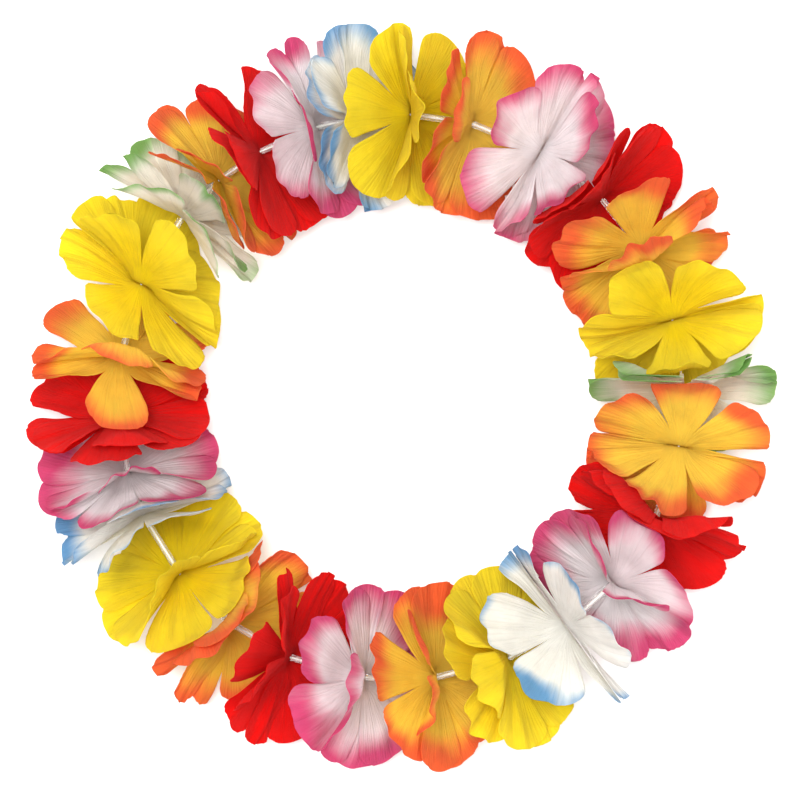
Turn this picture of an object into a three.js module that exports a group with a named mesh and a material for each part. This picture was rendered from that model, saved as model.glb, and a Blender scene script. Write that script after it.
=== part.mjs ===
import * as THREE from 'three';
import { mergeVertices } from 'three/addons/utils/BufferGeometryUtils.js';

// An artificial flower lei, laid flat on a table: twenty-seven cloth blooms on one string, each
// held off the next by a clear plastic tube. Every bloom is two die-cut layers of six petals,
// pressed together at the string. Millimetres and degrees. +Z is up, the middle of the lei is the
// origin, and angles run clockwise from +Y as seen from above.

// The loop
const LOOP_RADIUS = 147;
const STRING_HEIGHT = 32;
const STRING_RADIUS = 0.6;
const STRING_SIDES = 8;
const FIT_GAP = 0.3;

// The tubes between the blooms
const TUBE_OUTER = 1.8;
const TUBE_INNER = 1.0;
const TUBE_SIDES = 8;

// The knot that closes the string, in the stretch before this bloom
const KNOT_BEFORE = 7;
const KNOT_RADIUS = 1.5;
const KNOT_LENGTH = 4.5;
const KNOT_TAPER = 1;

// One layer of a bloom
const PETALS = 6;
const PETAL_REACH = 49;
const CLOTH = 0.6;
const HOLE_RADIUS = 1.0;
const HUB_RADIUS = 3;
const HUB_HALF = 0.75;
const SLIT_REACH = 0.22;
const BELLY = { reach: 0.7, half: 29 };
const SHOULDER = { reach: 0.93, half: 17 };
const FOOT_HALF = 8;

// How the layers lie against each other: slopes are millimetres along the string for each
// millimetre of height, and the last two bound the cloth's slant and the search for its height.
const BEND_LENGTH = 8;
const PAIR_GAP = 1.7;
const BLOOM_GAP = 2.2;
const FOLLOWED = 7;
const STEEPEST = 1.7;
const SETTLE_PASSES = 24;
const LOW_SLOPE = 1.17;
const LOW_SPREAD = 0.12;
const GATHER = 0.42;

const COLOURS = {
  yellow: 0xf5dc1e,
  orange: 0xf7a83a,
  red: 0xe01410,
  pink: 0xe9a9c4,
  blue: 0xd8e0e6,
  green: 0xd9dfc2,
};

// Each bloom: its colour, where it sits on the string, and which way its lower half leans, -1 for
// clockwise and 1 for anticlockwise. Then its back layer and its front layer, the front being the
// clockwise one: how far the topmost petal is turned outwards, and the slope of the layer above
// the string and level with it, in millimetres clockwise for each millimetre of height. A skew
// swings the whole bloom about the upright.
const BLOOMS = [
  { colour: 'yellow', at: 2, low: -1, back: [7, -0.95, -1], front: [2, 0.15, -0.5] },
  { colour: 'orange', at: 14.5, low: -1, back: [30, -0.35, -0.9], front: [5, -0.15, -0.8] },
  { colour: 'pink', at: 29.7, low: -1, back: [12, -1, -0.6], front: [-25, 0.75, 0.3] },
  { colour: 'red', at: 45.3, low: -1, back: [30, -0.3, -0.9], front: [0, -0.15, -0.7], rests: 'front' },
  { colour: 'orange', at: 58.5, low: -1, back: [20, -0.95, -0.9], front: [-5, 0.3, -0.4] },
  { colour: 'yellow', at: 74.2, low: -1, back: [-22, -1.15, -0.3], front: [-5, 1.0, 0.4] },
  { colour: 'green', at: 87.5, low: -1, back: [30, 0.05, -0.9], front: [28, 0.1, -0.8] },
  { colour: 'orange', at: 100, low: -1, back: [0, -1.1, -0.8], front: [-2, 1.2, 0.7], rests: 'back' },
  { colour: 'red', at: 115.6, low: -1, back: [30, -0.1, -0.95], front: [0, 0, -0.8], rests: 'front' },
  { colour: 'pink', at: 131, low: -1, back: [-8, -1, -0.6], front: [20, 0.1, -0.7] },
  { colour: 'blue', at: 144, low: 0, back: [30, -0.35, -0.3], front: [30, 1.5, 0.6] },
  { colour: 'yellow', at: 157.8, low: 1, back: [10, 0.15, 0.9], front: [-20, 0.95, 1] },
  { colour: 'orange', at: 173, low: 1, back: [20, -0.05, 0.7], front: [-15, 1, 0.9] },
  { colour: 'pink', at: 187.5, low: 1, back: [0, 0, 0.8], front: [-18, 1, 0.9], rests: 'back' },
  { colour: 'red', at: 203.2, low: 1, back: [30, 0.15, 0.9], front: [5, 0.4, 0.9] },
  { colour: 'orange', at: 217, low: 1, back: [30, 0.05, 0.8], front: [0, 0.1, 0.9], rests: 'front' },
  { colour: 'yellow', at: 231.2, low: -1, back: [-28, -0.95, -0.8], front: [5, 0.1, -0.7] },
  { colour: 'blue', at: 245.3, low: -1, back: [30, -0.15, -0.7], front: [-5, 0.25, -0.4] },
  { colour: 'pink', at: 254.5, low: -1, back: [25, -0.55, -0.9], front: [0, 0.05, -0.7], rests: 'front' },
  { colour: 'red', at: 266.2, low: -1, back: [10, -0.5, -0.7], front: [-10, -0.3, -0.7] },
  { colour: 'orange', at: 278, low: -1, back: [0, -1, -0.7], front: [0, 0.25, -0.4], rests: 'back' },
  { colour: 'yellow', at: 293.5, low: -1, back: [10, -0.85, -0.8], front: [-15, 0.85, 0.3], skew: 0.35 },
  { colour: 'green', at: 309.5, low: -1, back: [30, 0.15, -0.6], front: [-5, 0.4, 0.1] },
  { colour: 'orange', at: 320, low: -1, back: [30, -0.1, -0.9], front: [15, 0.1, -0.6] },
  { colour: 'red', at: 330, low: -1, back: [5, -0.3, -0.7], front: [0, -0.15, -0.7], rests: 'front' },
  { colour: 'pink', at: 342.5, low: -1, back: [-28, -0.9, -0.7], front: [0, -0.1, -0.6] },
  { colour: 'blue', at: 351.5, low: -1, back: [26, -0.5, -0.9], front: [30, -0.35, -0.9] },
];

// A seeded draw, so that the lower halves never lie all alike.
const SEED = 27;
const DRAW_STEP = 48271;
const DRAW_SIZE = 2147483647;

function makeDraw(seed) {
  let state = seed;
  return () => {
    state = (state * DRAW_STEP) % DRAW_SIZE;
    return state / DRAW_SIZE;
  };
}

function smooth(from, to, value) {
  const t = Math.min(1, Math.max(0, (value - from) / (to - from)));
  return t * t * (3 - 2 * t);
}

const draw = makeDraw(SEED);

function makeLayer(bloom, side) {
  const [turn, top, level] = side < 0 ? bloom.back : bloom.front;
  const spread = LOW_SLOPE + (side === bloom.low ? 0 : LOW_SPREAD) + LOW_SPREAD * draw();
  return {
    at: THREE.MathUtils.degToRad(bloom.at),
    side,
    turn,
    top,
    level,
    low: bloom.low * spread,
    skew: bloom.skew ?? 0,
    gathered: bloom.low === 0,
    rests: bloom.rests === (side < 0 ? 'back' : 'front'),
  };
}

// All layers in their order round the string. No two of them ever change places.
const LAYERS = BLOOMS.flatMap((bloom) => [makeLayer(bloom, -1), makeLayer(bloom, 1)]);

// A layer is a sheet that leaves the plane square to the string: u runs outwards from the string
// in that plane, v upwards, and the sheet's place along the string follows from both.
function freeArc(layer, u, v) {
  const reach = Math.hypot(u, v);
  const steep = (v * v) / Math.max(reach * reach, 1e-6);
  const slope = v > 0 ? layer.level + (layer.top - layer.level) * steep : layer.low;
  const bent = smooth(HUB_RADIUS, HUB_RADIUS + BEND_LENGTH, reach);
  return (slope * v + layer.skew * u) * bent + (layer.side * HUB_HALF) / 2;
}

function gapAfter(index, reach) {
  const samePair = (index & 1) === 0;
  const opened = smooth(HUB_RADIUS, HUB_RADIUS + BEND_LENGTH, reach);
  return samePair ? HUB_HALF + (PAIR_GAP - HUB_HALF) * opened : BLOOM_GAP;
}

function wholeArc(index, u, v) {
  const count = LAYERS.length;
  const layer = LAYERS[((index % count) + count) % count];
  const laps = Math.floor(index / count) * 2 * Math.PI;
  return (layer.at + laps) * (LOOP_RADIUS + u) + freeArc(layer, u, v);
}

// Where neighbours would cross, both give way until they lie face to face with a gap: the arc is
// half way between what the layers behind allow and what the layers ahead allow.
function restingArc(index, u, v) {
  const reach = Math.hypot(u, v);
  let pushed = wholeArc(index, u, v);
  let held = pushed;
  let behind = 0;
  let ahead = 0;
  for (let step = 1; step <= FOLLOWED; step += 1) {
    behind += gapAfter(Math.abs(index - step), reach);
    ahead += gapAfter(index + step - 1, reach);
    pushed = Math.max(pushed, wholeArc(index - step, u, v) + behind);
    held = Math.min(held, wholeArc(index + step, u, v) - ahead);
  }
  return (pushed + held) / 2;
}

// A point of the flat cloth, carried to its place. Its height is found so that the petal keeps
// its length as it leans, and nothing goes below the table.
function settle(index, x, y) {
  const layer = LAYERS[index];
  const sign = y < 0 ? -1 : 1;
  const root = layer.at * (LOOP_RADIUS + x);
  const level = restingArc(index, x, 0);
  let near = 0;
  let far = Math.abs(y);
  for (let pass = 0; pass < SETTLE_PASSES; pass += 1) {
    const middle = (near + far) / 2;
    const along = restingArc(index, x, sign * middle) - level;
    if (Math.hypot(along, middle) > Math.abs(y)) far = middle;
    else near = middle;
  }
  const v = sign < 0 ? -Math.min(near, STRING_HEIGHT) : near;
  return { u: x, v, arc: restingArc(index, x, v) - root };
}

function toSpace(at, u, v, arc) {
  const radius = LOOP_RADIUS + u;
  const angle = at + arc / radius;
  return [radius * Math.sin(angle), radius * Math.cos(angle), STRING_HEIGHT + v];
}

// The cloth point at a share of the reach and an angle from straight out. Where a bloom has no
// room below, its lower petals are gathered up to both sides.
function clothPoint(layer, reach, angle) {
  const radius = reach * PETAL_REACH;
  let degrees = THREE.MathUtils.euclideanModulo(angle + 180, 360) - 180;
  if (layer.gathered && degrees < 0) {
    const drop = degrees > -90 ? -degrees : 180 + degrees;
    const pull = 1 - (1 - GATHER) * smooth(SLIT_REACH, BELLY.reach, reach);
    degrees = degrees > -90 ? -drop * pull : drop * pull - 180;
  }
  const turned = THREE.MathUtils.degToRad(degrees);
  return [radius * Math.cos(turned), radius * Math.sin(turned)];
}

class Solid {
  constructor() {
    this.positions = [];
    this.triangles = [];
  }

  vertex(point) {
    this.positions.push(...point);
    return this.positions.length / 3 - 1;
  }

  // Cut from a to c. The cloth's two faces are cut along the same line, so they never cross.
  quad(a, b, c, d) {
    this.triangles.push(a, b, c, a, c, d);
  }

  geometry() {
    const geometry = new THREE.BufferGeometry();
    geometry.setAttribute('position', new THREE.Float32BufferAttribute(this.positions, 3));
    geometry.setIndex(this.triangles);
    geometry.computeVertexNormals();
    return geometry;
  }
}

const HUB_SIDES = 2 * PETALS;
const HUB_STEP = 360 / HUB_SIDES;

// A ring of vertices round the string, flat against the hub.
function hubRing(solid, layer, radius, arc) {
  return Array.from({ length: HUB_SIDES }, (_, i) => {
    const angle = THREE.MathUtils.degToRad(90 - LAYERS[layer & ~1].turn + i * HUB_STEP);
    const at = LAYERS[layer].at;
    return solid.vertex(toSpace(at, radius * Math.cos(angle), radius * Math.sin(angle), arc));
  });
}

// A vertex on each face of the cloth, back and front.
function clothVertices(solid, index, x, y, grounded) {
  const layer = LAYERS[index];
  const placed = settle(index, x, y);
  if (grounded) placed.v = -STRING_HEIGHT;
  const slope = placed.arc / Math.max(Math.abs(placed.v), HUB_RADIUS);
  const half = (CLOTH / 2) * Math.min(STEEPEST, Math.hypot(1, slope));
  return {
    back: solid.vertex(toSpace(layer.at, placed.u, placed.v, placed.arc - half)),
    front: solid.vertex(toSpace(layer.at, placed.u, placed.v, placed.arc + half)),
  };
}

// The six petals of one layer, with both faces and the cut edge, from the hub rings outwards. Both
// layers of a bloom share the ring's steps as far as the slits, so that they lie flat together.
function addLayer(solid, index, backRing, frontRing) {
  const layer = LAYERS[index];
  const start = 90 - layer.turn;
  const ringStart = 90 - LAYERS[index & ~1].turn;
  const shift = Math.round((start - ringStart) / HUB_STEP);
  const hub = (ring, i) => ring[(i + shift + 2 * HUB_SIDES) % HUB_SIDES];
  const point = (reach, angle) => clothVertices(solid, index, ...clothPoint(layer, reach, angle));
  const first = Array.from({ length: HUB_SIDES }, (_, i) =>
    point(SLIT_REACH, ringStart + (i + shift) * HUB_STEP));

  for (let i = 0; i < HUB_SIDES; i += 1) {
    const j = (i + 1) % HUB_SIDES;
    solid.quad(hub(frontRing, i), first[i].front, first[j].front, hub(frontRing, j));
    solid.quad(hub(backRing, i), hub(backRing, j), first[j].back, first[i].back);
  }

  for (let petal = 0; petal < PETALS; petal += 1) {
    const axis = start + (petal * 360) / PETALS;
    const near = [2 * petal - 1, 2 * petal, 2 * petal + 1].map((i) =>
      first[(i + HUB_SIDES) % HUB_SIDES]);
    const belly = [-1, 0, 1].map((s) => point(BELLY.reach, axis + s * BELLY.half));
    const end = layer.rests && petal === PETALS / 2 ? footRow(solid, index) : [
      point(SHOULDER.reach, axis - SHOULDER.half),
      point(1, axis),
      point(SHOULDER.reach, axis + SHOULDER.half),
    ];
    for (const [inner, outer] of [[near, belly], [belly, end]]) {
      for (const c of [0, 1]) {
        solid.quad(inner[c].front, outer[c].front, outer[c + 1].front, inner[c + 1].front);
        solid.quad(inner[c].back, inner[c + 1].back, outer[c + 1].back, outer[c].back);
      }
    }
    const edge = [near[0], belly[0], ...end, belly[2], near[2]];
    for (let i = 0; i + 1 < edge.length; i += 1) {
      solid.quad(edge[i].back, edge[i + 1].back, edge[i + 1].front, edge[i].front);
    }
  }
}

// The end of a petal that carries the lei: a short straight edge, flat on the table.
function footRow(solid, index) {
  const half = PETAL_REACH * Math.tan(THREE.MathUtils.degToRad(FOOT_HALF));
  return [-half, 0, half].map((x) => clothVertices(solid, index, x, -PETAL_REACH, true));
}

function makeBloom(number) {
  const solid = new Solid();
  const back = 2 * number;
  const front = back + 1;
  const rimBack = hubRing(solid, back, HOLE_RADIUS, -HUB_HALF);
  const ringBack = hubRing(solid, back, HUB_RADIUS, -HUB_HALF);
  const ringShared = hubRing(solid, back, HUB_RADIUS, 0);
  const ringFront = hubRing(solid, front, HUB_RADIUS, HUB_HALF);
  const rimFront = hubRing(solid, front, HOLE_RADIUS, HUB_HALF);
  addLayer(solid, back, ringBack, ringShared);
  addLayer(solid, front, ringShared, ringFront);
  for (let i = 0; i < HUB_SIDES; i += 1) {
    const j = (i + 1) % HUB_SIDES;
    solid.quad(rimBack[j], ringBack[j], ringBack[i], rimBack[i]);
    solid.quad(rimFront[i], ringFront[i], ringFront[j], rimFront[j]);
    solid.quad(rimBack[i], rimFront[i], rimFront[j], rimBack[j]);
  }
  return solid.geometry();
}

// The string's corner at a bloom.
function corner(number) {
  const at = THREE.MathUtils.degToRad(BLOOMS[number % BLOOMS.length].at);
  return new THREE.Vector3(...toSpace(at, 0, 0, 0));
}

// A clear tube from one bloom to the next. The one beside the knot is cut shorter.
function makeTube(number) {
  const from = corner(number);
  const to = corner(number + 1);
  const beside = HUB_HALF + FIT_GAP;
  const knotRoom = number === KNOT_BEFORE - 2 ? KNOT_LENGTH + 2 * KNOT_TAPER + FIT_GAP : 0;
  const length = from.distanceTo(to) - 2 * beside - knotRoom;
  const profile = [
    [TUBE_INNER, 0], [TUBE_OUTER, 0], [TUBE_OUTER, length], [TUBE_INNER, length], [TUBE_INNER, 0],
  ].map(([x, y]) => new THREE.Vector2(x, y));
  const lathe = new THREE.LatheGeometry(profile, TUBE_SIDES);
  lathe.deleteAttribute('normal');
  lathe.deleteAttribute('uv');
  const geometry = mergeVertices(lathe, 1e-4);
  const along = to.clone().sub(from).normalize();
  const turn = new THREE.Quaternion().setFromUnitVectors(new THREE.Vector3(0, 1, 0), along);
  geometry.applyQuaternion(turn);
  geometry.translate(...from.addScaledVector(along, beside).toArray());
  geometry.computeVertexNormals();
  return geometry;
}

// The closed string, straight from bloom to bloom, with the knot as a small swelling.
function makeString() {
  const stations = [];
  BLOOMS.forEach((bloom, number) => {
    stations.push({ centre: corner(number), radius: STRING_RADIUS });
    if (number !== KNOT_BEFORE - 2) return;
    const end = corner(number + 1);
    const back = corner(number).sub(end).normalize();
    const close = HUB_HALF + FIT_GAP;
    const taper = [
      [close + KNOT_LENGTH + 2 * KNOT_TAPER, STRING_RADIUS],
      [close + KNOT_LENGTH + KNOT_TAPER, KNOT_RADIUS],
      [close + KNOT_TAPER, KNOT_RADIUS],
      [close, STRING_RADIUS],
    ];
    for (const [distance, radius] of taper) {
      stations.push({ centre: end.clone().addScaledVector(back, distance), radius });
    }
  });
  const solid = new Solid();
  const rings = stations.map(({ centre, radius }) => {
    const out = new THREE.Vector3(centre.x, centre.y, 0).normalize();
    return Array.from({ length: STRING_SIDES }, (_, i) => {
      const angle = ((i + 0.5) * 2 * Math.PI) / STRING_SIDES;
      const point = centre.clone().addScaledVector(out, radius * Math.cos(angle));
      point.z += radius * Math.sin(angle);
      return solid.vertex(point.toArray());
    });
  });
  rings.forEach((ring, r) => {
    const next = rings[(r + 1) % rings.length];
    for (let i = 0; i < STRING_SIDES; i += 1) {
      const j = (i + 1) % STRING_SIDES;
      solid.quad(ring[i], ring[j], next[j], next[i]);
    }
  });
  return solid.geometry();
}

const cloths = Object.fromEntries(Object.entries(COLOURS).map(([name, color]) => [
  name, new THREE.MeshStandardMaterial({ color, roughness: 0.85, metalness: 0, side: THREE.DoubleSide }),
]));
const clearPlastic = new THREE.MeshStandardMaterial({ color: 0xf2f4f4, roughness: 0.15, metalness: 0 });
const thread = new THREE.MeshStandardMaterial({ color: 0xf4f2ea, roughness: 0.8, metalness: 0 });

function named(name, geometry, material) {
  const mesh = new THREE.Mesh(geometry, material);
  mesh.name = name;
  return mesh;
}

const lei = new THREE.Group();
BLOOMS.forEach((bloom, number) => {
  const label = String(number + 1).padStart(2, '0');
  lei.add(named(`bloom_${label}`, makeBloom(number), cloths[bloom.colour]));
  lei.add(named(`tube_${label}`, makeTube(number), clearPlastic));
});
lei.add(named('string', makeString(), thread));

export default lei;
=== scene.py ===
import math
import random

import bmesh
import bpy
import numpy as np
from mathutils import Matrix, Vector


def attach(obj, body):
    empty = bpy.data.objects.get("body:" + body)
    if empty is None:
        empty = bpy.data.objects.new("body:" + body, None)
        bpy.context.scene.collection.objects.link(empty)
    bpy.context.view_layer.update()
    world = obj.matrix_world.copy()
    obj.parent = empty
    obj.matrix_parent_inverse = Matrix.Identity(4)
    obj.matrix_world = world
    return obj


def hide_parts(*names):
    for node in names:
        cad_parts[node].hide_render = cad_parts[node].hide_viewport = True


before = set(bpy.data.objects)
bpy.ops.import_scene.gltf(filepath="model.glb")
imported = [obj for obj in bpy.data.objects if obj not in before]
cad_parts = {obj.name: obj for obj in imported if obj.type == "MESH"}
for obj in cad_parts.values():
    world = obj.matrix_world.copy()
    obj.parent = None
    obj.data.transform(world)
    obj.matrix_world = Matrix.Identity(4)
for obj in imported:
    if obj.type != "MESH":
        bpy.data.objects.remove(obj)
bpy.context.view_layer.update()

# --- The loop and the order of the blooms -----------------------------------------------------
# A cloth lei lies flat, its string a closed loop held clear of the table by the petals under it.
# Twenty-seven blooms sit on the string, and each has a back and a front layer, the front being
# the clockwise one. Sizes are millimetres and degrees; MM brings them to metres.

MM = 0.001
LOOP_RADIUS = 147
STRING_HEIGHT = 32

# Colour, place on the string, lean of the lower half (-1 clockwise, 1 anticlockwise), then for
# the back and the front layer: the topmost petal's turn outwards, and the slope of the layer
# above the string and level with it. A skew swings the whole bloom about the upright.
BLOOMS = [
    ("yellow", 2, -1, (7, -0.95, -1), (2, 0.15, -0.5), 0),
    ("orange", 14.5, -1, (30, -0.35, -0.9), (5, -0.15, -0.8), 0),
    ("pink", 29.7, -1, (12, -1, -0.6), (-25, 0.75, 0.3), 0),
    ("red", 45.3, -1, (30, -0.3, -0.9), (0, -0.15, -0.7), 0),
    ("orange", 58.5, -1, (20, -0.95, -0.9), (-5, 0.3, -0.4), 0),
    ("yellow", 74.2, -1, (-22, -1.15, -0.3), (-5, 1.0, 0.4), 0),
    ("green", 87.5, -1, (30, 0.05, -0.9), (28, 0.1, -0.8), 0),
    ("orange", 100, -1, (0, -1.1, -0.8), (-9, 1.2, 0.7), 0),
    ("red", 115.6, -1, (30, -0.1, -0.95), (0, 0, -0.8), 0),
    ("pink", 131, -1, (-8, -1, -0.6), (20, 0.1, -0.7), 0),
    ("blue", 144, 0, (30, -0.35, -0.3), (30, 1.5, 0.6), 0),
    ("yellow", 157.8, 1, (10, 0.15, 0.9), (-20, 0.95, 1), 0),
    ("orange", 173, 1, (20, -0.05, 0.7), (-15, 1, 0.9), 0),
    ("pink", 187.5, 1, (0, 0, 0.8), (-18, 1, 0.9), 0),
    ("red", 203.2, 1, (30, 0.15, 0.9), (5, 0.4, 0.9), 0),
    ("orange", 217, 1, (30, 0.05, 0.8), (0, 0.1, 0.9), 0),
    ("yellow", 231.2, -1, (-28, -0.95, -0.8), (5, 0.1, -0.7), 0),
    ("blue", 245.3, -1, (30, -0.15, -0.7), (-5, 0.25, -0.4), 0),
    ("pink", 254.5, -1, (25, -0.55, -0.9), (0, 0.05, -0.7), 0),
    ("red", 266.2, -1, (10, -0.5, -0.7), (-10, -0.3, -0.7), 0),
    ("orange", 278, -1, (0, -1, -0.7), (0, 0.25, -0.4), 0),
    ("yellow", 293.5, -1, (10, -0.85, -0.8), (-15, 0.85, 0.3), 0.35),
    ("green", 309.5, -1, (30, 0.15, -0.6), (-5, 0.4, 0.1), 0),
    ("orange", 320, -1, (30, -0.1, -0.9), (15, 0.1, -0.6), 0),
    ("red", 330, -1, (5, -0.3, -0.7), (0, -0.15, -0.7), 0),
    ("pink", 342.5, -1, (-28, -0.9, -0.7), (0, -0.1, -0.6), 0),
    ("blue", 351.5, -1, (26, -0.5, -0.9), (30, -0.35, -0.9), 0),
]

# --- How the layers lie ------------------------------------------------------------------------
# Light stiffened polyester springs away from the string and leans on its neighbours. Each layer
# is a sheet across the string: u runs outwards, v upwards, and the arc along the string follows
# from both. Where two sheets would cross, both give way until they lie face to face.

HUB_RADIUS = 3
HUB_HALF = 0.75
PETAL_REACH = 49
BEND_LENGTH = 8
PAIR_GAP = 1.7
BLOOM_GAP = 2.2
NEIGHBOURS_FELT = 7
LOW_SLOPE = 1.17
LOW_SPREAD = 0.12
TABLE_CLEARANCE = 0.2
SETTLE_PASSES = 20
DRAW_STEP = 48271
DRAW_SIZE = 2147483647
TINY = 1e-6


def seeded(seed):
    """An endless row of draws between 0 and 1, the same in every run."""
    state = seed
    while True:
        state = (state * DRAW_STEP) % DRAW_SIZE
        yield state / DRAW_SIZE


low_draw = seeded(len(BLOOMS))
layers = []
for _, place, low, back, front, skew in BLOOMS:
    for side, (turn, top, level) in ((-1, back), (1, front)):
        spread = LOW_SLOPE + (0 if side == low else LOW_SPREAD) + LOW_SPREAD * next(low_draw)
        layers.append({
            "at": math.radians(place), "side": side, "turn": turn, "top": top, "level": level,
            "low": low * spread, "skew": skew, "gathered": low == 0,
        })


def smooth(start, end, value):
    """0 up to start, 1 from end on, and an even ease between them."""
    t = np.clip((value - start) / (end - start), 0, 1)
    return t * t * (3 - 2 * t)


def free_arc(layer, u, v, reach, bent):
    """How far along the string a layer leans from its bloom's middle, with nothing in its way."""
    steep = v * v / np.maximum(reach * reach, TINY)
    above = layer["level"] + (layer["top"] - layer["level"]) * steep
    slope = np.where(v > 0, above, layer["low"])
    return (slope * v + layer["skew"] * u) * bent + layer["side"] * HUB_HALF / 2


def whole_arc(index, u, v, reach, bent):
    """The same from the top of the loop, for a layer counted on past either end of the row."""
    layer = layers[index % len(layers)]
    laps = index // len(layers) * 2 * math.pi
    return (layer["at"] + laps) * (LOOP_RADIUS + u) + free_arc(layer, u, v, reach, bent)


def gap_after(index, bent):
    """The least space to the next layer: less at the hub, where a bloom's two layers meet."""
    return HUB_HALF + (PAIR_GAP - HUB_HALF) * bent if index % 2 == 0 else BLOOM_GAP


def resting_arc(index, u, v):
    """Where a layer lies along the string once its neighbours on both sides have pushed it."""
    reach = np.hypot(u, v)
    bent = smooth(HUB_RADIUS, HUB_RADIUS + BEND_LENGTH, reach)
    pushed = whole_arc(index, u, v, reach, bent)
    held = pushed
    behind = ahead = 0
    for step in range(1, NEIGHBOURS_FELT + 1):
        behind = behind + gap_after(index - step, bent)
        ahead = ahead + gap_after(index + step - 1, bent)
        pushed = np.maximum(pushed, whole_arc(index - step, u, v, reach, bent) + behind)
        held = np.minimum(held, whole_arc(index + step, u, v, reach, bent) - ahead)
    return (pushed + held) / 2


def settle(index, x, y):
    """How high over the string the cloth's own length brings a point, kept clear of the table."""
    sign = np.where(y < 0, -1.0, 1.0)
    level = resting_arc(index, x, np.zeros_like(x))
    near = np.zeros_like(x)
    far = np.abs(y)
    for _ in range(SETTLE_PASSES):
        middle = (near + far) / 2
        along = resting_arc(index, x, sign * middle) - level
        beyond = np.hypot(along, middle) > np.abs(y)
        far = np.where(beyond, middle, far)
        near = np.where(beyond, near, middle)
    hanging = sign < 0
    lowest = STRING_HEIGHT - TABLE_CLEARANCE
    slack = min(1, lowest / near[hanging].max())
    return np.where(hanging, -near * slack, near)


def to_space(at, u, v, arc):
    """A place in metres, from u outwards and v upwards of the string and an arc along it."""
    radius = LOOP_RADIUS + u
    angle = at + arc / radius
    return np.stack([radius * np.sin(angle), radius * np.cos(angle), STRING_HEIGHT + v], -1) * MM


# --- The die-cut layer -------------------------------------------------------------------------
# One cut of cloth with six broad petals, slit almost to the middle and punched for the string.
# A hot die seals it only roughly, so the rim is a little frayed. It is cut once, flat, from one
# petal turned about the hole, and every bloom takes two copies.

PETALS = 6
HALF_PETAL = math.pi / PETALS
HOLE_RADIUS = 1.0

# Places along a petal are shares of its reach, 0 at the string and 1 at the tip.
SLIT_REACH = 0.22
SLIT_FULL = 0.5
BELLY_REACH = 0.71
BELLY_SHARE = 0.99
TIP_POWER = 2.8

ACROSS = 28
OUT = 36
ROW_CROWDING = 1.15
SEAM = 1e-5


def petal_half_angle(share):
    slit = 1 - (1 - BELLY_SHARE) * smooth(SLIT_REACH, SLIT_FULL, share)
    past = np.clip((share - BELLY_REACH) / (1 - BELLY_REACH), 0, 1)
    return HALF_PETAL * slit * np.sqrt(np.clip(1 - past ** TIP_POWER, 0, 1))


def cut_layer():
    """The flat cut with a reach of 1, its rows closer together towards the tips."""
    bm = bmesh.new()
    bmesh.ops.create_grid(bm, x_segments=ACROSS, y_segments=OUT, size=1)
    hole = HOLE_RADIUS / PETAL_REACH
    for vert in bm.verts:
        across, row = vert.co.x, (vert.co.y + 1) / 2
        share = hole + (1 - hole) * math.sin(row * math.pi / 2) ** ROW_CROWDING
        angle = across * float(petal_half_angle(np.float64(share)))
        vert.co = (share * math.cos(angle), share * math.sin(angle), 0)
    bmesh.ops.spin(
        bm, geom=bm.verts[:] + bm.edges[:] + bm.faces[:], cent=(0, 0, 0), axis=(0, 0, 1),
        dvec=(0, 0, 0), angle=2 * math.pi * (PETALS - 1) / PETALS, steps=PETALS - 1,
        use_duplicate=True,
    )
    bmesh.ops.remove_doubles(bm, verts=bm.verts, dist=SEAM)
    # petal: across each petal and out along it; weave: the flat cloth in mm
    across_map = bm.loops.layers.uv.new("petal")
    weave_map = bm.loops.layers.uv.new("weave")
    for face in bm.faces:
        middle = face.calc_center_median()
        petal = round(math.atan2(middle.y, middle.x) / (2 * HALF_PETAL))
        for loop in face.loops:
            x, y, _ = loop.vert.co
            off = math.remainder(math.atan2(y, x) - petal * 2 * HALF_PETAL, 2 * math.pi)
            loop[across_map].uv = (petal % PETALS + 0.5 + 0.5 * off / HALF_PETAL, math.hypot(x, y))
            loop[weave_map].uv = (x * PETAL_REACH, y * PETAL_REACH)
    bmesh.ops.recalc_face_normals(bm, faces=bm.faces)
    mesh = bpy.data.meshes.new("cut_layer")
    bm.to_mesh(mesh)
    bm.free()
    return mesh


cut = cut_layer()
flat = np.empty(len(cut.vertices) * 3)
cut.vertices.foreach_get("co", flat)
flat = flat.reshape(-1, 3)

# --- Dyes and cloth ----------------------------------------------------------------------------
# Thin woven polyester, dyed in the piece or airbrushed from the petal tips inwards, so that the
# colour runs along the threads in streaks. Light goes through it. The die presses soft veins
# that fan out from the middle of each petal.

# The cloth's own colour, the colour at the tips, and where on the petal it starts and is full.
DYES = {
    "yellow": ("#F8E014", "#F9E632", 0.30, 0.85),
    "orange": ("#FFDF54", "#F67A42", 0.56, 0.98),
    "red": ("#EC0404", "#F0120E", 0.30, 0.90),
    "pink": ("#FBF5F6", "#E45E90", 0.54, 0.97),
    "blue": ("#FAF9F4", "#7FB2D8", 0.74, 1.06),
    "green": ("#FBF8EE", "#98C474", 0.68, 1.02),
}

# How far streaks, patches and the petal's edges move the start of the dye, as shares of the reach.
STREAK_SHIFT = 0.13
PATCH_SHIFT = 0.95
EDGE_SHIFT = 0.6
EDGE_POWER = 3.0

# Steps of noise across a petal and along it, for the streaks and the veins.
STREAKS_ACROSS = 9.0
STREAKS_ALONG = 1.3
VEINS_ACROSS = 16.0
VEINS_ALONG = 0.9

# The weave: its wave in radians for each mm, its tone and its height beside the veins.
THREAD_WAVE = 13.0
THREAD_SHADE = 0.05
THREAD_TONE = 0.97
THREAD_RELIEF = 0.06

LIGHT_THROUGH = 0.55


def linear(code):
    """A hex colour as linear red, green and blue, with a full alpha."""
    parts = [int(code[i:i + 2], 16) / 255 for i in (1, 3, 5)]
    return [c / 12.92 if c <= 0.04045 else ((c + 0.055) / 1.055) ** 2.4 for c in parts] + [1]


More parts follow.
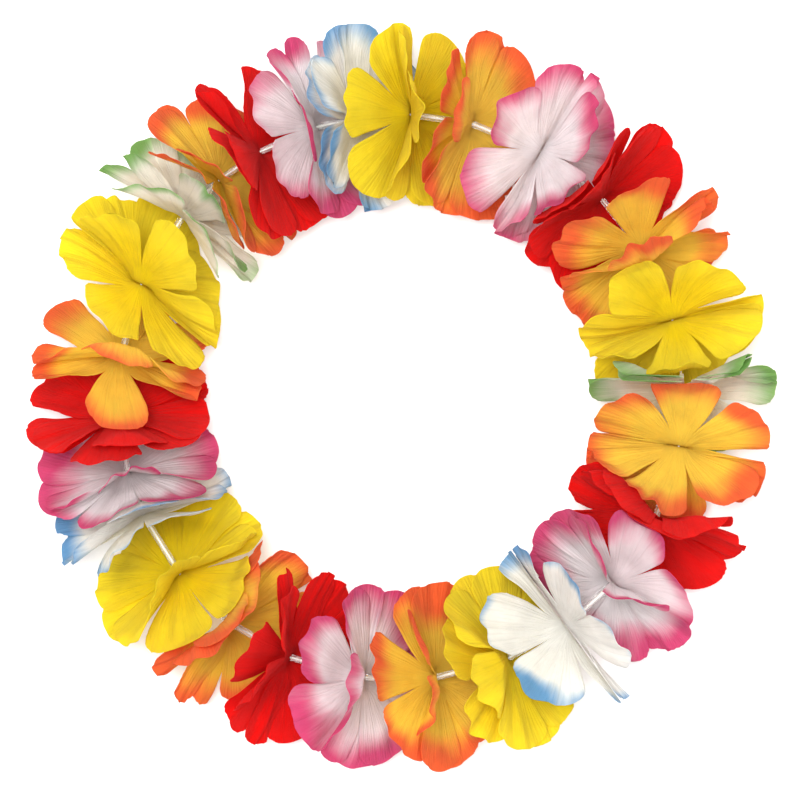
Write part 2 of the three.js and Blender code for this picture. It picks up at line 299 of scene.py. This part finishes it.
class Nodes:
    """Adds nodes to a material, wired by socket name, or by number as i0, i1 and so on."""

    def __init__(self, name):
        self.material = bpy.data.materials.new(name)
        self.material.use_nodes = True
        self.tree = self.material.node_tree
        self.tree.nodes.clear()

    def add(self, kind, settings=(), **inputs):
        node = self.tree.nodes.new("ShaderNode" + kind)
        for key, value in dict(settings).items():
            setattr(node, key, value)
        for key, value in inputs.items():
            index = int(key[1:]) if key[0] == "i" and key[1:].isdigit() else key.replace("_", " ")
            if isinstance(value, bpy.types.NodeSocket):
                self.tree.links.new(value, node.inputs[index])
            else:
                node.inputs[index].default_value = value
        return node

    def maths(self, operation, *values):
        inputs = {f"i{i}": value for i, value in enumerate(values)}
        return self.add("Math", {"operation": operation}, **inputs).outputs[0]

    def noise(self, vector, scale, detail):
        return self.add("TexNoise", Vector=vector, Scale=scale, Detail=detail).outputs[0]

    def around_zero(self, noise, share):
        """Noise made to swing about zero, by a share of its own size."""
        return self.maths("MULTIPLY", self.maths("SUBTRACT", noise, 0.5), share)

    def stretched(self, across, along, steps_across, steps_along):
        """A petal's two directions as a vector, with each its own number of steps."""
        return self.add("CombineXYZ", X=self.maths("MULTIPLY", across, steps_across),
                        Y=self.maths("MULTIPLY", along, steps_along)).outputs[0]


def cloth_material(name, base, tip, start, end):
    nodes = Nodes(name)
    petal = nodes.add("UVMap", {"uv_map": "petal"}).outputs[0]
    weave = nodes.add("UVMap", {"uv_map": "weave"}).outputs[0]
    place = nodes.add("TexCoord").outputs["Object"]
    parts = nodes.add("SeparateXYZ", Vector=petal)
    across, out = parts.outputs[0], parts.outputs[1]

    # dye: it runs in from the tip and the edges, in streaks along the petal and in patches
    streak = nodes.noise(nodes.stretched(across, out, STREAKS_ACROSS, STREAKS_ALONG), 2.2, 4.0)
    patch = nodes.noise(place, 26.0, 1.0)
    from_middle = nodes.maths("ABSOLUTE", nodes.maths("SUBTRACT", nodes.maths("FRACT", across), 0.5))
    edge = nodes.maths("MULTIPLY", nodes.maths("POWER", from_middle, EDGE_POWER), EDGE_SHIFT)
    run = nodes.maths("ADD", out, nodes.around_zero(streak, STREAK_SHIFT))
    run = nodes.maths("ADD", run, nodes.around_zero(patch, PATCH_SHIFT))
    run = nodes.maths("ADD", run, edge)
    dyed = nodes.add("MapRange", {"interpolation_type": "SMOOTHSTEP"}, Value=run,
                     From_Min=start, From_Max=end).outputs[0]
    colour = nodes.add("Mix", {"data_type": "RGBA"}, i0=dyed, i6=linear(base), i7=linear(tip))

    # tone: blotches, the weave's threads, and painted shade along the pressed veins' creases
    blotch = nodes.noise(place, 70.0, 3.0)
    shade = nodes.add("MapRange", Value=blotch, From_Min=0.3, From_Max=0.7,
                      To_Min=0.94, To_Max=1.05).outputs[0]
    threads = nodes.add("SeparateXYZ", Vector=weave)
    warp = nodes.maths("SINE", nodes.maths("MULTIPLY", threads.outputs[0], THREAD_WAVE))
    weft = nodes.maths("SINE", nodes.maths("MULTIPLY", threads.outputs[1], THREAD_WAVE))
    woven = nodes.maths("MULTIPLY", warp, weft)
    vein = nodes.noise(nodes.stretched(across, out, VEINS_ACROSS, VEINS_ALONG), 1.6, 2.0)
    # painted shade: the veins' creases drawn as darker lines in the colour
    vein_painted_shade = nodes.add("MapRange", Value=vein, From_Min=0.36, From_Max=0.46,
                      To_Min=0.94, To_Max=1.0).outputs[0]
    grain = nodes.maths("MULTIPLY_ADD", woven, THREAD_SHADE, THREAD_TONE)
    # blotches, threads and the painted crease shade, multiplied together into the dye
    tone_and_painted_shade = nodes.maths("MULTIPLY", nodes.maths("MULTIPLY", shade, vein_painted_shade), grain)
    grey = nodes.add("CombineColor", Red=tone_and_painted_shade, Green=tone_and_painted_shade, Blue=tone_and_painted_shade).outputs[0]
    toned = nodes.add("Mix", {"data_type": "RGBA", "blend_type": "MULTIPLY"}, i0=1.0,
                      i6=colour.outputs[2], i7=grey).outputs[2]

    # relief: the veins, small rumples and the threads
    rumple = nodes.noise(place, 110.0, 2.0)
    thread_height = nodes.maths("MULTIPLY", woven, THREAD_RELIEF)
    relief = nodes.maths("ADD", nodes.maths("ADD", vein, rumple), thread_height)
    bump = nodes.add("Bump", Strength=0.8, Distance=0.0017, Height=relief).outputs[0]

    face = nodes.add("BsdfPrincipled", Base_Color=toned, Roughness=0.8, Normal=bump,
                     Specular_IOR_Level=0.15, Sheen_Weight=0.06, Sheen_Roughness=0.5)
    through = nodes.add("BsdfTranslucent", Color=toned, Normal=bump)
    mixed = nodes.add("MixShader", Fac=LIGHT_THROUGH, i1=face.outputs[0], i2=through.outputs[0])
    nodes.add("OutputMaterial", Surface=mixed.outputs[0])
    return nodes.material


cloths = {name: cloth_material("cloth_" + name, *dye) for name, dye in DYES.items()}

# --- The blooms --------------------------------------------------------------------------------
# Each bloom is two cut layers pushed together on the string. No two petals lie alike: they cup,
# curl at the tip, crease along a vein or fold lengthwise, but only as far as the room between
# them and the next layer lets them.

CLOTH = 0.26

# The most by which each curve moves a loose petal out of its layer, in mm.
CUP = 4.5
CURL = 5.5
TWIST = 5
RIPPLE = 1.2
CREASE = 2.4
PLEAT = 0.7

# The least share of a pleat or ripple, the curves' widths, and where along a petal they grow.
LEAST_WAVE = 0.4
CREASE_WIDTH = 0.16
PLEATS = 9
SHAPED_FULL = 0.9
TIP_FROM = 0.5

# A petal folded lengthwise is narrower and twists further. Any petal swings a little sideways.
FOLD_CHANCE = 0.75
FOLD_DEPTH = 13
FOLD_PINCH = (0.35, 0.55)
FOLD_TWIST = 2
LOOSE_PINCH = (0, 0, 0.06, 0.12)
PINCH_FULL = 0.75
SWING = 0.05

# Low petals gathered up to both sides: the share of their drop that is left, and from where.
GATHER = 0.42
GATHER_FULL = 0.7

# The share of the free space beside it that a layer may fill, and what stays clear, in mm.
ROOM_TAKEN = 0.4
KEPT_FREE = 0.7
LEAST_ROOM = 0.05

# The frayed rim: how far its points stray, in mm, and which points of a petal belong to it.
FRAY = 0.4
RIM_WIDTH = 0.995
RIM_START = SLIT_REACH * 1.2
RIM_END = 0.985

FIRST_SEED = 100

# Blooms whose end petals are folded: 1 at the outer end, -1 at the inner end, 0 at both.
FOLDED_ENDS = {5: 1, 7: 0, 9: 0, 10: 1, 11: 0, 15: 0, 16: 0, 18: 0, 19: -1, 20: 0, 21: 0, 23: 0,
               24: 0, 25: 1, 26: 1, 27: 0}
END_PETAL = 0.8


def petal_shape(rng, index, petal_number):
    """One petal's curves, drawn at random. Most at a bloom's folded ends are folded lengthwise."""
    direction = math.radians(90 - layers[index]["turn"] + 360 / PETALS * petal_number)
    pointed = math.cos(direction)
    end = FOLDED_ENDS.get(index // 2 + 1)
    level = end is not None and abs(pointed) > END_PETAL and end * pointed >= 0
    folded = level and rng.random() < FOLD_CHANCE
    return {
        "cup": rng.uniform(-1, 1) * CUP,
        "curl": rng.uniform(-1, 1) * CURL,
        "twist": rng.uniform(-1, 1) * TWIST * (FOLD_TWIST if folded else 1),
        "crease": rng.uniform(-1, 1) * CREASE,
        "pleat": rng.uniform(LEAST_WAVE, 1) * PLEAT,
        "ripple": rng.uniform(LEAST_WAVE, 1) * RIPPLE,
        "phase": rng.uniform(0, 2 * math.pi),
        "waves": rng.choice((2, 3, 4)),
        "pinch": rng.uniform(*FOLD_PINCH) if folded else rng.choice(LOOSE_PINCH),
        "swing": rng.uniform(-1, 1) * SWING,
    }


def gathered_up(degrees, share):
    """Directions on the cloth, with those below the string drawn up to the nearer side."""
    pull = 1 - (1 - GATHER) * smooth(SLIT_REACH, GATHER_FULL, share)
    right = degrees > -90
    drop = np.where(right, -degrees, 180 + degrees)
    pulled = np.where(right, -drop * pull, drop * pull - 180)
    return np.where(degrees < 0, pulled, degrees)


def wished_shape(each, across, share):
    """How far each point would stand out of its layer, in mm, if nothing were beside it."""
    grown = smooth(SLIT_REACH, SHAPED_FULL, share)
    tip = np.clip((share - TIP_FROM) / (1 - TIP_FROM), 0, 1) ** 2
    wish = each["cup"] * across ** 2 * grown
    wish += each["curl"] * tip
    wish += each["twist"] * across * tip
    wish += each["crease"] * np.exp(-(across / CREASE_WIDTH) ** 2) * grown
    wish += each["pleat"] * np.sin(PLEATS * across + each["phase"]) * grown
    wish += each["ripple"] * np.sin(each["waves"] * across * math.pi + each["phase"]) * tip
    wish += each["pinch"] * FOLD_DEPTH * (np.abs(across) - 0.5) * grown
    return wish


def lay_petals(index, mesh):
    """Moves the points of a flat cut to where they lie in the layer of that number."""
    layer = layers[index]
    rng = random.Random(FIRST_SEED + index)
    share = np.hypot(flat[:, 0], flat[:, 1])
    angle = np.arctan2(flat[:, 1], flat[:, 0])
    petal = np.round(angle / (2 * HALF_PETAL)).astype(int) % PETALS
    off = np.remainder(angle - petal * 2 * HALF_PETAL + math.pi, 2 * math.pi) - math.pi
    across = off / HALF_PETAL
    shapes = [petal_shape(rng, index, number) for number in range(PETALS)]
    each = {key: np.array([shape[key] for shape in shapes])[petal] for key in shapes[0]}

    # in the plane of the cloth: pinched and swung petals, and the frayed rim
    free = smooth(SLIT_REACH, PINCH_FULL, share)
    narrowed = 1 - (each["pinch"] + np.abs(each["swing"]) / HALF_PETAL) * free
    off = off * narrowed + each["swing"] * free
    fray = np.array([rng.uniform(-1, 1) for _ in range(len(share))]) * FRAY
    rim = np.abs(across) > RIM_WIDTH * petal_half_angle(share) / HALF_PETAL
    rim = rim & (share > RIM_START) & (share < RIM_END)
    reach = share * PETAL_REACH + np.where(rim, fray, 0)
    degrees = np.degrees(petal * 2 * HALF_PETAL + off) + 90 - layer["turn"]
    degrees = np.remainder(degrees + 180, 360) - 180
    if layer["gathered"]:
        degrees = gathered_up(degrees, share)
    turned = np.radians(degrees)
    x, y = reach * np.cos(turned), reach * np.sin(turned)
    v = settle(index, x, y)
    here = resting_arc(index, x, v)

    # out of the plane, as far as the neighbours leave room
    after = resting_arc(index + 1, x, v) - here
    before = here - resting_arc(index - 1, x, v)
    room_up = np.maximum(after - KEPT_FREE, LEAST_ROOM) * ROOM_TAKEN
    room_down = np.maximum(before - KEPT_FREE, LEAST_ROOM) * ROOM_TAKEN
    wish = wished_shape(each, across, share)
    moved = np.where(wish > 0, room_up * np.tanh(wish / room_up), room_down * np.tanh(wish / room_down))
    place = to_space(layer["at"], x, v, here + moved - layer["at"] * (LOOP_RADIUS + x))
    mesh.vertices.foreach_set("co", place.reshape(-1))
    mesh.update()


for number, (colour, *_) in enumerate(BLOOMS, start=1):
    for half, label in enumerate(("back", "front")):
        layer_mesh = cut.copy()
        lay_petals(2 * (number - 1) + half, layer_mesh)
        layer_mesh.shade_smooth()
        layer_mesh.materials.append(cloths[colour])
        petals = bpy.data.objects.new(f"petals_{number:02d}_{label}", layer_mesh)
        bpy.context.scene.collection.objects.link(petals)
        thickness = petals.modifiers.new("cloth thickness", "SOLIDIFY")
        thickness.thickness = CLOTH * MM
        thickness.offset = 0
        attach(petals, "root")
        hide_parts(f"bloom_{number:02d}")

# --- The tubes ---------------------------------------------------------------------------------
# Short lengths of clear drinking-straw plastic that keep the blooms apart. They are cut square
# and thread loosely on the string, from one bloom's middle to the next.

TUBE_OUTER = 1.8
TUBE_INNER = 1.35
TUBE_SIDES = 28
TUBE_BEVEL = 0.09
FIT_GAP = 0.3
SHARP_CORNER = math.radians(57)
UP = Vector((0, 0, 1))

# The string's knot lies before this bloom, and the tube there is shorter by its room.
KNOT_BEFORE = 7
KNOT_LENGTH = 4.5
KNOT_TAPER = 1


def corner(number):
    """The string's place in a bloom's middle, counted from 0 and on past the last one."""
    at = math.radians(BLOOMS[number % len(BLOOMS)][1])
    return Vector((LOOP_RADIUS * math.sin(at), LOOP_RADIUS * math.cos(at), STRING_HEIGHT)) * MM


tube_nodes = Nodes("clear_tube")
tube_place = tube_nodes.add("TexCoord").outputs["Object"]
tube_haze = tube_nodes.noise(tube_place, 900.0, 3.0)
tube_rough = tube_nodes.add("MapRange", Value=tube_haze, To_Min=0.06, To_Max=0.24).outputs[0]
tube_shader = tube_nodes.add("BsdfPrincipled", Base_Color=(1, 1, 0.98, 1), IOR=1.4,
                             Roughness=tube_rough, Transmission_Weight=0.9, Alpha=0.55)
tube_nodes.add("OutputMaterial", Surface=tube_shader.outputs[0])

for number in range(len(BLOOMS)):
    start, end = corner(number), corner(number + 1)
    along = (end - start).normalized()
    beside = (HUB_HALF + FIT_GAP) * MM
    knot_room = (KNOT_LENGTH + 2 * KNOT_TAPER + FIT_GAP) * MM if number == KNOT_BEFORE - 2 else 0
    length = (end - start).length - 2 * beside - knot_room
    bm = bmesh.new()
    bmesh.ops.create_circle(bm, segments=TUBE_SIDES, radius=TUBE_OUTER * MM)
    bmesh.ops.create_circle(bm, segments=TUBE_SIDES, radius=TUBE_INNER * MM)
    end_ring = bmesh.ops.bridge_loops(bm, edges=bm.edges[:])["faces"]
    drawn = bmesh.ops.extrude_face_region(bm, geom=end_ring)["geom"]
    far_end = [part for part in drawn if isinstance(part, bmesh.types.BMVert)]
    bmesh.ops.translate(bm, verts=far_end, vec=(0, 0, length))
    bmesh.ops.recalc_face_normals(bm, faces=bm.faces)
    cut_edges = [edge for edge in bm.edges
                 if abs(edge.verts[0].co.z - edge.verts[1].co.z) < length / 2
                 and edge.calc_face_angle(0) > SHARP_CORNER]
    bmesh.ops.bevel(bm, geom=cut_edges, offset=TUBE_BEVEL * MM, segments=1, profile=0.5,
                    affect="EDGES", material=-1)
    turn = UP.rotation_difference(along).to_matrix().to_4x4()
    bmesh.ops.transform(bm, matrix=Matrix.Translation(start + along * beside) @ turn, verts=bm.verts)
    tube_mesh = bpy.data.meshes.new(f"clear_tube_{number + 1:02d}")
    bm.to_mesh(tube_mesh)
    bm.free()
    for polygon in tube_mesh.polygons:
        polygon.use_smooth = abs(polygon.normal.dot(along)) < 0.5
    tube_mesh.materials.append(tube_nodes.material)
    tube = bpy.data.objects.new(tube_mesh.name, tube_mesh)
    bpy.context.scene.collection.objects.link(tube)
    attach(tube, "root")
    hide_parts(f"tube_{number + 1:02d}")

# --- The string --------------------------------------------------------------------------------
# A white polyester thread of three twisted strands runs through all the tubes and blooms. It is
# closed by one knot, hidden beside the seventh bloom.

STRANDS = 3
STRAND_RADIUS = 0.3
STRAND_OFFSET = 0.29
TWIST_PITCH = 4.2
STRAND_STEP = 0.7
KNOT_POINTS = 60
KNOT_WIDTH = 0.36
KNOT_DRAWN = 1.3

thread_nodes = Nodes("thread")
thread_place = thread_nodes.add("TexCoord").outputs["Object"]
fuzz = thread_nodes.noise(thread_place, 1800.0, 3.0)
thread_tone = thread_nodes.add("MapRange", Value=fuzz, To_Min=0.82, To_Max=0.98).outputs[0]
thread_blue = thread_nodes.maths("MULTIPLY", thread_tone, 0.95)
thread_colour = thread_nodes.add("CombineColor", Red=thread_tone, Green=thread_tone, Blue=thread_blue)
thread_bump = thread_nodes.add("Bump", Strength=0.6, Distance=0.0002, Height=fuzz).outputs[0]
thread_shader = thread_nodes.add("BsdfPrincipled", Roughness=0.75, Normal=thread_bump,
                                 Base_Color=thread_colour.outputs[0])
thread_nodes.add("OutputMaterial", Surface=thread_shader.outputs[0])

thread_curve = bpy.data.curves.new("thread", "CURVE")
thread_curve.dimensions = "3D"
thread_curve.bevel_depth = STRAND_RADIUS * MM
thread_curve.bevel_resolution = 1
round_length = sum((corner(n + 1) - corner(n)).length for n in range(len(BLOOMS)))
turns = round(round_length / (TWIST_PITCH * MM))
for strand in range(STRANDS):
    points = []
    walked = 0
    for number in range(len(BLOOMS)):
        start, end = corner(number), corner(number + 1)
        stretch = (end - start).length
        along = (end - start).normalized()
        out = UP.cross(along)
        steps = round(stretch / (STRAND_STEP * MM))
        for step in range(steps):
            here = stretch * step / steps
            phase = 2 * math.pi * (turns * (walked + here) / round_length + strand / STRANDS)
            offset = (out * math.cos(phase) + UP * math.sin(phase)) * STRAND_OFFSET * MM
            points.append(start + along * here + offset)
        walked += stretch
    spline = thread_curve.splines.new("POLY")
    spline.points.add(len(points) - 1)
    for point, place in zip(spline.points, points):
        point.co = (*place, 1)
    spline.use_cyclic_u = True

# the knot: one closed overhand turn of the thread, drawn tight round the string
knot_end, knot_start = corner(KNOT_BEFORE - 1), corner(KNOT_BEFORE - 2)
knot_along = (knot_start - knot_end).normalized()
knot_out = UP.cross(knot_along)
knot_middle = knot_end + knot_along * (HUB_HALF + FIT_GAP + KNOT_TAPER + KNOT_LENGTH / 2) * MM
knot = thread_curve.splines.new("POLY")
knot.points.add(KNOT_POINTS - 1)
for i in range(KNOT_POINTS):
    t = 2 * math.pi * i / KNOT_POINTS
    side_way = (math.sin(t) + 2 * math.sin(2 * t)) * KNOT_WIDTH
    up_way = (math.cos(t) - 2 * math.cos(2 * t)) * KNOT_WIDTH
    long_way = -math.sin(3 * t) * KNOT_DRAWN
    place = knot_middle + (knot_out * side_way + UP * up_way + knot_along * long_way) * MM
    knot.points[i].co = (*place, 1)
knot.use_cyclic_u = True

thread = bpy.data.objects.new("thread", thread_curve)
bpy.context.scene.collection.objects.link(thread)
thread_mesh = bpy.data.meshes.new_from_object(thread)
thread_mesh.materials.clear()
thread_mesh.materials.append(thread_nodes.material)
thread_mesh.shade_smooth()
bpy.data.objects.remove(thread)
thread = bpy.data.objects.new("twisted_string", thread_mesh)
bpy.context.scene.collection.objects.link(thread)
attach(thread, "root")
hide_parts("string")

# --- Floor, light and camera -------------------------------------------------------------------
# The lei lies on a plain white table under a broad soft light, photographed from straight above
# with a long lens. Sizes here are metres, apart from the camera's film, in mm.

FLOOR_HALF = 3
SKY_STRENGTH = 1.12
CAMERA_HEIGHT = 2.2
VIEW_WIDTH = 0.416
AIM = (-0.0002, -0.0015)
FILM_WIDTH = 36

bm = bmesh.new()
bmesh.ops.create_grid(bm, x_segments=1, y_segments=1, size=FLOOR_HALF)
floor_mesh = bpy.data.meshes.new("floor")
bm.to_mesh(floor_mesh)
bm.free()
floor = bpy.data.objects.new("floor", floor_mesh)
bpy.context.scene.collection.objects.link(floor)
floor_nodes = Nodes("white_table")
floor_shader = floor_nodes.add("BsdfPrincipled", Base_Color=(0.95, 0.95, 0.95, 1), Roughness=0.9)
floor_nodes.add("OutputMaterial", Surface=floor_shader.outputs[0])
floor_mesh.materials.append(floor_nodes.material)

world = bpy.data.worlds.new("studio")
world.use_nodes = True
sky = world.node_tree.nodes["Background"]
sky.inputs["Color"].default_value = (1, 1, 1, 1)
sky.inputs["Strength"].default_value = SKY_STRENGTH
bpy.context.scene.world = world


def soft_box(name, place, size, power):
    """A round soft light, turned to the middle of the lei."""
    light = bpy.data.lights.new(name, "AREA")
    light.shape = "DISK"
    light.size = size
    light.energy = power
    lamp = bpy.data.objects.new(name, light)
    lamp.location = place
    lamp.rotation_euler = (-Vector(place)).to_track_quat("-Z", "Y").to_euler()
    bpy.context.scene.collection.objects.link(lamp)


soft_box("key light", place=(-0.25, 0.3, 2.4), size=0.9, power=63)
soft_box("fill light", place=(1.0, -0.7, 1.9), size=1.6, power=10)

lens = bpy.data.cameras.new("camera")
lens.sensor_width = FILM_WIDTH
lens.lens = FILM_WIDTH * (CAMERA_HEIGHT - STRING_HEIGHT * MM) / VIEW_WIDTH
camera = bpy.data.objects.new("camera", lens)
camera.location = (*AIM, CAMERA_HEIGHT)
bpy.context.scene.collection.objects.link(camera)
bpy.context.scene.camera = camera
bpy.context.scene.view_settings.view_transform = "Standard"
